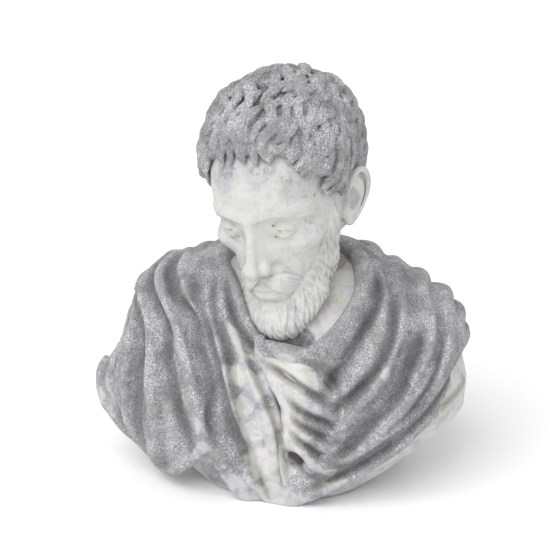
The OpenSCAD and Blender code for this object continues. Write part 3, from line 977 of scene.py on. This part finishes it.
def weathered_marble(name, look, tint, stain_and_shade=1.0):
    """White marble, carved and long outdoors. Rain has etched away its polish, so it is matt all over. It
    has a salt-and-pepper crust of lichen where the lichen attribute is high, and cool blotches on the rest.
    Its ridges are painted lighter and its hollows and creases darker, as painted highlight and shade mixed
    with wear and dirt."""
    made, tree, where = empty_material(name)
    lichen = add(tree, "Attribute", attribute_name="lichen").outputs["Fac"]
    hollow = add(tree, "Attribute", attribute_name="hollow").outputs["Fac"]
    valley = add(tree, "Attribute", attribute_name="valley").outputs["Fac"]
    crease = add(tree, "Attribute", attribute_name="crease").outputs["Fac"]
    patches = noise(tree, where, PATCHES, 4, 0.62, 0.3)
    clots = noise(tree, where, CLOTS, 5, 0.7)
    grains = noise(tree, where, GRAINS, 4, 0.75)
    dust = noise(tree, where, DUST, 2, 0.7)
    # Lichen spreads from the painted places, broken up at three sizes. It is thinner on the ridges and
    # thicker in the valleys, which lightens the ridges and darkens the folds: partly wear, partly painted
    # highlight and shade.
    worn = ramp(tree, valley, -3.5, 1.5, -0.30, 0.10)
    spread = maths(tree, "MULTIPLY_ADD", patches, 1.0, maths(tree, "MULTIPLY_ADD", clots, 0.9, -0.95))
    spread = maths(tree, "ADD", maths(tree, "MULTIPLY_ADD", grains, 0.9, -0.45), spread)
    spread = maths(tree, "ADD", spread, worn)
    cover = ramp(tree, maths(tree, "ADD", lichen, spread), 0.24, 0.66)
    salt = maths(tree, "MULTIPLY_ADD", grains, 0.6, maths(tree, "MULTIPLY", dust, 0.4))
    crust = add(tree, "ValToRGB", {"Fac": salt})
    stops = crust.color_ramp.elements
    stops[0].position, stops[0].color = 0.33, look.lichen_dark
    stops[1].position, stops[1].color = 0.63, look.lichen_light
    middle = stops.new(0.49)
    middle.color = look.lichen_mid
    # The crust is darker by the patch. It is also darker in the valleys and lighter on the ridges, as
    # painted shade and highlight, and near black where the lichen attribute runs above 1: thick crust, and
    # painted shadow under the beard.
    by_patch = ramp(tree, patches, 0.36, 0.64, 0.7, 1.22)
    patch_tone_and_fold_shading = maths(tree, "MULTIPLY", by_patch, ramp(tree, valley, -4.0, 4.5, 1.22, 0.74))
    shaded_crust = add(tree, "VectorMath", {0: crust.outputs["Color"], "Scale": patch_tone_and_fold_shading}, operation="SCALE")
    thick_crust_and_shadow = ramp(tree, maths(tree, "ADD", lichen, spread), 1.0, 1.5, 0.0, 0.75)
    crust_colour = blend_colour(tree, thick_crust_and_shadow, shaded_crust.outputs[0], linear("#4a4945"))
    # The clean marble has cool blotches, faint warm stains and grey flecks.
    cool = ramp(tree, noise(tree, where, BLOTCHES, 7, 0.74, 0.4), 0.44, 0.66, 0.0, 0.75 * stain_and_shade)
    cool = maths(tree, "ADD", cool, ramp(tree, lichen, 0.14, 0.38, 0.0, 0.42))
    clean = blend_colour(tree, cool, tint, linear("#a9a8b2"))
    warm = ramp(tree, noise(tree, where, STAINS, 3, 0.6), 0.55, 0.72, 0.0, 0.4 * stain_and_shade)
    clean = blend_colour(tree, warm, clean, linear("#c6c4a6"))
    specks = maths(tree, "MULTIPLY_ADD", grains, 0.6, maths(tree, "MULTIPLY", clots, 0.4))
    clean = blend_colour(tree, ramp(tree, specks, 0.57, 0.68, 0.0, 0.55), clean, linear("#7f7e82"))
    colour = blend_colour(tree, cover, clean, crust_colour)
    # Darkening in the narrow hollows, the valleys and along the creases, as painted shade and dirt: olive
    # grey where it is shallow, near black in the deepest creases.
    dirt_and_shade_noise = maths(tree, "MULTIPLY_ADD", clots, 0.9, -0.45)
    depth = maths(tree, "ADD", maths(tree, "MULTIPLY_ADD", valley, 0.2, hollow), dirt_and_shade_noise)
    depth = maths(tree, "MULTIPLY_ADD", crease, 1.8, depth)
    dirt_and_shade_colour = blend_colour(tree, cover, linear("#85836f"), linear("#68686a"))
    colour = blend_colour(tree, ramp(tree, depth, 0.2, 1.1, 0.0, 0.5 * stain_and_shade), colour, dirt_and_shade_colour)
    colour = blend_colour(tree, ramp(tree, depth, 1.0, 2.4, 0.0, 0.85 * stain_and_shade), colour, linear("#363638"))
    # The crust is rougher than the bare stone, and stands up to a millimetre proud.
    rough = ramp(tree, cover, 0, 1, 0.62, 0.92)
    rise = ramp(tree, cover, 0, 1, 0.22, 1.0)
    height = maths(tree, "MULTIPLY", maths(tree, "MULTIPLY_ADD", clots, 1.4, grains), rise)
    bump = add(tree, "Bump", {"Height": height, "Distance": 0.0012, "Strength": 0.7})
    fill = {"Base Color": colour, "Roughness": rough, "Normal": bump.outputs["Normal"]}
    finish(tree, fill, specular=0.3)
    return made


def plain_finish(name, colour, second, scale, rough, metal=0.0):
    """Mortar or metal: two close colours mixed by noise, with a faint grain of scale lumps a metre."""
    made, tree, where = empty_material(name)
    grain = noise(tree, where, scale, 4)
    colour = blend_colour(tree, grain, linear(colour), linear(second))
    bump = add(tree, "Bump", {"Height": grain, "Distance": 0.0004})
    worn = ramp(tree, grain, 0.3, 0.7, rough, rough + 0.15)
    finish(tree, {"Base Color": colour, "Roughness": worn, "Normal": bump.outputs["Normal"]}, metal=metal)
    return made


def dress(piece, material):
    """Gives a piece this one material."""
    piece.data.materials.clear()
    piece.data.materials.append(material)


def points_mm(mesh):
    """A mesh's points in millimetres."""
    places = np.empty(len(mesh.vertices) * 3, np.float32)
    mesh.vertices.foreach_get("co", places)
    return places.reshape(-1, 3) / MM


def paint(piece, heart, ground, patches):
    """Writes the lichen attribute: ground everywhere, drawn towards each patch's amount within its radius.
    A patch is (bearing, elevation, radius, amount) in degrees seen from the heart. Amounts above 1 turn
    the crust near black: thick lichen, and painted shadow where the patches lie under the beard."""
    bearing, rise = seen_from(points_mm(piece.data), heart)
    value = np.full(len(bearing), float(ground))
    for b, e, radius, amount in patches:
        side = (bearing - b + 180) % 360 - 180
        away = np.hypot(side * np.cos(np.radians((rise + e) / 2)), rise - e) / radius
        share = np.clip(1.35 - away, 0, 1)
        share = share * share * (3 - 2 * share)
        value += (amount - value) * share
    store(piece.data, "lichen", value)


# ---- operators ------------------------------------------------------------------------------------


class BustLook(bpy.types.PropertyGroup):
    """Sizes and colours of the bust that a user would change."""

    nod: bpy.props.FloatProperty(
        name="Nod", description="How far the head looks down", subtype="ANGLE", default=math.radians(18)
    )
    turn: bpy.props.FloatProperty(
        name="Turn", description="Turn towards the sitter's right", subtype="ANGLE", default=math.radians(15)
    )
    lean: bpy.props.FloatProperty(
        name="Lean", description="Lean towards the sitter's left", subtype="ANGLE", default=math.radians(7)
    )
    locks: bpy.props.IntProperty(
        name="Locks", description="Locks of hair, counted over the whole head", default=520, min=1
    )
    marble: bpy.props.FloatVectorProperty(
        name="Marble", description="Bare marble of the chest and cloak", subtype="COLOR", size=4,
        min=0, max=1, default=linear("#d2d1cf"),
    )
    head_marble: bpy.props.FloatVectorProperty(
        name="Head marble", description="Bare marble of the head, which is cleaner", subtype="COLOR", size=4,
        min=0, max=1, default=linear("#cfcfcb"),
    )
    lichen_dark: bpy.props.FloatVectorProperty(
        name="Dark lichen", description="Darkest grains of the lichen", subtype="COLOR", size=4,
        min=0, max=1, default=linear("#404044"),
    )
    lichen_mid: bpy.props.FloatVectorProperty(
        name="Lichen", description="Main colour of the lichen", subtype="COLOR", size=4,
        min=0, max=1, default=linear("#8b8b8f"),
    )
    lichen_light: bpy.props.FloatVectorProperty(
        name="Light lichen", description="Palest grains of the lichen", subtype="COLOR", size=4,
        min=0, max=1, default=linear("#cfcfce"),
    )


# Lichen's patches: bearing, elevation and radius in degrees, and amount. Those on the cloak and the chest
# are seen from the heart, and those on the hair and the face from the brain. The four patches of 1.4
# and 1.5 on the cloak and the chest, just under the beard, are painted shadow under the beard, near black.
CLOAK_PATCHES = [
    (-17, 30, 6, 0.3), (-13, 14, 7, 0.05), (-10, 0, 6, 0.05), (-6, -12, 7, 0.05), (-3, -26, 8, 0.0),
    (3, -38, 8, 0.1), (-8, 26, 6, 0.05), (-4, 10, 7, 0.0), (1, -6, 7, 0.0), (6, -20, 7, 0.0),
    (8, 20, 6, 0.3), (15, 14, 5, 0.4), (-72, -8, 7, 0.55), (-36, -2, 5, 0.35), (-31, -9, 5, 0.35),
    (-29, -19, 6, 0.6), (-30, -38, 9, 0.5), (-14, -38, 8, 0.35), (47, 16, 5, 0.6), (30, -31, 6, 0.45),
    # The last patch on this line and the first on the next: painted shadow under the beard.
    (44, -29, 6, 0.5), (16, -42, 7, 0.3), (58, -22, 6, 0.6), (90, 55, 20, 1.0), (4, 35, 6, 1.5),
    (-6, 31, 7, 1.4), (-99, 16, 6, 0.05),
]
CHEST_PATCHES = [
    (27, 20, 9, 0.85), (27, 7, 9, 0.85), (26, -6, 9, 0.9), (26, -18, 9, 0.85), (23, -28, 7, 0.7),
    # The second and third patches on this line: painted shadow under the beard.
    (14, 28, 6, 0.5), (3, 30, 8, 1.5), (15, 31, 7, 1.4), (18, -36, 6, 1.0), (12, -28, 5, 0.1),
    (-30, -38, 8, 0.55), (-22, -30, 5, 0.7), (84, -14, 8, 0.0), (180, 10, 60, 0.6),
]
HAIR_PATCHES = [
    (-78, 38, 12, 1.2), (-60, 58, 10, 1.2), (-88, 12, 12, 1.25), (-44, 44, 4, 0.3), (-20, 62, 9, 1.15),
    (10, 50, 9, 1.05), (40, 44, 12, 1.2), (64, 60, 9, 0.75), (70, 30, 8, 0.75), (180, 20, 60, 0.95),
]
FACE_PATCHES = [
    (-35, 6, 16, 0.4), (-6, 12, 15, 0.42), (20, 2, 12, 0.38), (-60, 2, 12, 0.3), (-5, -32, 20, -0.2),
]


class BUST_OT_head(bpy.types.Operator):
    """Carves the head, its hair and its beard"""

    bl_idname = "bust.head"
    bl_label = "Head"

    def execute(self, context):
        """Carves the three clays in the head's own frame and carries them to the bust's."""
        look = context.scene.bust_look
        place = head_matrix(look)
        head = bare_head()
        bare = copy_of(head, head.d)
        lay_brow_hair(head, np.random.default_rng(4))
        lay_neck(head, place.inverted())
        hair = hair_clay(bare, look.locks, np.random.default_rng(11))
        beard = beard_clay(bare, np.random.default_rng(23))
        brain = np.array(place @ Vector(BRAIN))
        stone = weathered_marble("head_weathered_marble", look, look.head_marble, 0.7)
        for name, clay, ground, patches in (
            ("head_stone", head, 0.12, FACE_PATCHES),
            ("hair_stone", hair, 0.85, HAIR_PATCHES),
            ("beard_stone", beard, 0.1, FACE_PATCHES),
        ):
            piece = clay.carve(name, place)
            paint(piece, brain, ground, patches)
            dress(piece, stone)
            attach(piece, BODY)
            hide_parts("head_and_neck")
        return {"FINISHED"}


class BUST_OT_blocks(bpy.types.Operator):
    """Carves the chest and the cloak's three blocks"""

    bl_idname = "bust.blocks"
    bl_label = "Chest and cloak"

    def execute(self, context):
        look = context.scene.bust_look
        stones = {}
        chest, cloak, marks = block_clays()
        clays = [("chest_stone", "chest", chest, 0.1, CHEST_PATCHES, "chest_marble")]
        for node in ("cloak_right_shoulder", "cloak_left_shoulder", "cloak_back"):
            part = copy_of(cloak, np.maximum(cloak.d, block_bounds(cloak, node)))
            clays.append((node + "_stone", node, part, 0.85, CLOAK_PATCHES, "cloak_marble"))
        for name, node, clay, ground, patches, slot in clays:
            piece = clay.carve(name)
            bpy.ops.object.shade_smooth_by_angle(angle=math.radians(38))
            paint(piece, HEART, ground, patches)
            # The crease attribute fades out over 9 mm beside a crease. The marble darkens the stone by it,
            # as painted shade and dirt.
            store(piece.data, "crease", np.clip(1 - marks.sample(points_mm(piece.data)) / 9, 0, 1))
            if slot not in stones:
                stones[slot] = weathered_marble(slot.replace("_", "_weathered_"), look, look.marble)
            dress(piece, stones[slot])
            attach(piece, BODY)
            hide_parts(node)
        return {"FINISHED"}


def block_bounds(clay, node):
    """Distance to the faces that part the cloak into its blocks: a plane across the shoulders, and the edge
    of the fall at the front. The blocks overlap by 2 or 3 mm, so that no joint shows."""
    x, y, z = clay.axes()
    if node == "cloak_back":
        return (33.0 - y) + 0 * x + 0 * z
    away = np.hypot(x, y)
    rise = np.degrees(np.arctan2(z - HEART[2], away))
    edge = np.interp(rise, [-50, -38, -20, 5, 27, 60], [4, 14, 13, 8, -1, -6])
    beside = (np.degrees(np.arctan2(x, -y)) - edge) * away * math.radians(1)
    return np.maximum(y - 35.0, (beside if node == "cloak_right_shoulder" else -beside) - 1.5)


class BUST_OT_fixings(bpy.types.Operator):
    """Finishes the mortar and the metal fixings inside the stone"""

    bl_idname = "bust.fixings"
    bl_label = "Fixings"

    def execute(self, context):
        # Lime mortar is chalky and sandy, with grains of 3 mm. Turned stainless steel is bright and smooth.
        # Cast bronze has dulled to brown in the damp stone.
        mortar = plain_finish("lime_mortar", "#b9b4a4", "#a39d8b", 300, 0.85)
        steel = plain_finish("stainless_steel", "#9a9da0", "#86898d", 200, 0.32, 1.0)
        bronze = plain_finish("dull_bronze", "#8a6a3c", "#6e5632", 150, 0.4, 1.0)
        for node, material in (
            ("neck_bedding", mortar), ("sleeve_grout", mortar), ("neck_dowel", steel),
            ("cloak_pins", bronze), ("socle_sleeve", bronze),
        ):
            dress(NODES[node], material)
        return {"FINISHED"}


class BUST_OT_stage(bpy.types.Operator):
    """Sets the pale floor, the soft lights and the camera"""

    bl_idname = "bust.stage"
    bl_label = "Stage"

    def execute(self, context):
        scene = context.scene
        scene.view_settings.view_transform = "Standard"
        bpy.ops.mesh.primitive_plane_add(size=14, location=(0, 3, -0.0005))
        floor = context.object
        floor.name = "floor"
        made = bpy.data.materials.new("pale_paper")
        made.use_nodes = True
        shader = made.node_tree.nodes["Principled BSDF"]
        shader.inputs["Base Color"].default_value = linear("#fdfdfd")
        shader.inputs["Roughness"].default_value = 0.9
        shader.inputs["Specular IOR Level"].default_value = 0.0
        dress(floor, made)
        world = scene.world or bpy.data.worlds.new("studio")
        scene.world = world
        world.use_nodes = True
        world.node_tree.nodes["Background"].inputs[0].default_value = (1, 1, 1, 1)
        world.node_tree.nodes["Background"].inputs[1].default_value = 0.69
        sun = bpy.data.lights.new("window", "SUN")
        sun.energy, sun.angle = 1.9, math.radians(55)
        holder = bpy.data.objects.new("window", sun)
        holder.rotation_euler = Vector((-0.3, -0.8, 1.0)).to_track_quat("Z", "Y").to_euler()
        scene.collection.objects.link(holder)
        # The camera looks down at 18 degrees from 12 degrees to the right of the front, 1.9 m away.
        azimuth, rise = math.radians(12), math.radians(18)
        level = math.cos(rise)
        back = Vector((math.sin(azimuth) * level, -math.cos(azimuth) * level, math.sin(rise)))
        lens = bpy.data.cameras.new("camera")
        lens.lens, lens.sensor_width, lens.shift_x = 107, 36, -0.0309
        camera = bpy.data.objects.new("camera", lens)
        camera.location = Vector((0, 0, 0.23)) + back * 1.9
        camera.rotation_euler = (-back).to_track_quat("-Z", "Y").to_euler()
        scene.collection.objects.link(camera)
        scene.camera = camera
        return {"FINISHED"}


class BUST_PT_panel(bpy.types.Panel):
    """Lists the bust's steps and settings"""

    bl_idname = "BUST_PT_panel"
    bl_label = "Marble bust"
    bl_space_type = "VIEW_3D"
    bl_region_type = "UI"
    bl_category = "Bust"

    def draw(self, context):
        """Draws the settings and a button for each step."""
        look = context.scene.bust_look
        for name in BustLook.__annotations__:
            self.layout.prop(look, name)
        for step in STEPS:
            self.layout.operator(step.bl_idname)


STEPS = (BUST_OT_stage, BUST_OT_head, BUST_OT_blocks, BUST_OT_fixings)
CLASSES = (BustLook, *STEPS, BUST_PT_panel)


def register():
    """Registers the classes and the settings."""
    for c in CLASSES:
        bpy.utils.register_class(c)
    bpy.types.Scene.bust_look = bpy.props.PointerProperty(type=BustLook)


def unregister():
    """Takes the classes and the settings out again."""
    del bpy.types.Scene.bust_look
    for c in reversed(CLASSES):
        bpy.utils.unregister_class(c)


def main():
    """Makes the whole bust on its stage."""
    register()
    bpy.ops.object.select_all(action="DESELECT")
    bpy.ops.bust.stage()
    bpy.ops.bust.head()
    bpy.ops.bust.blocks()
    bpy.ops.bust.fixings()


if __name__ == "__main__":
    main()
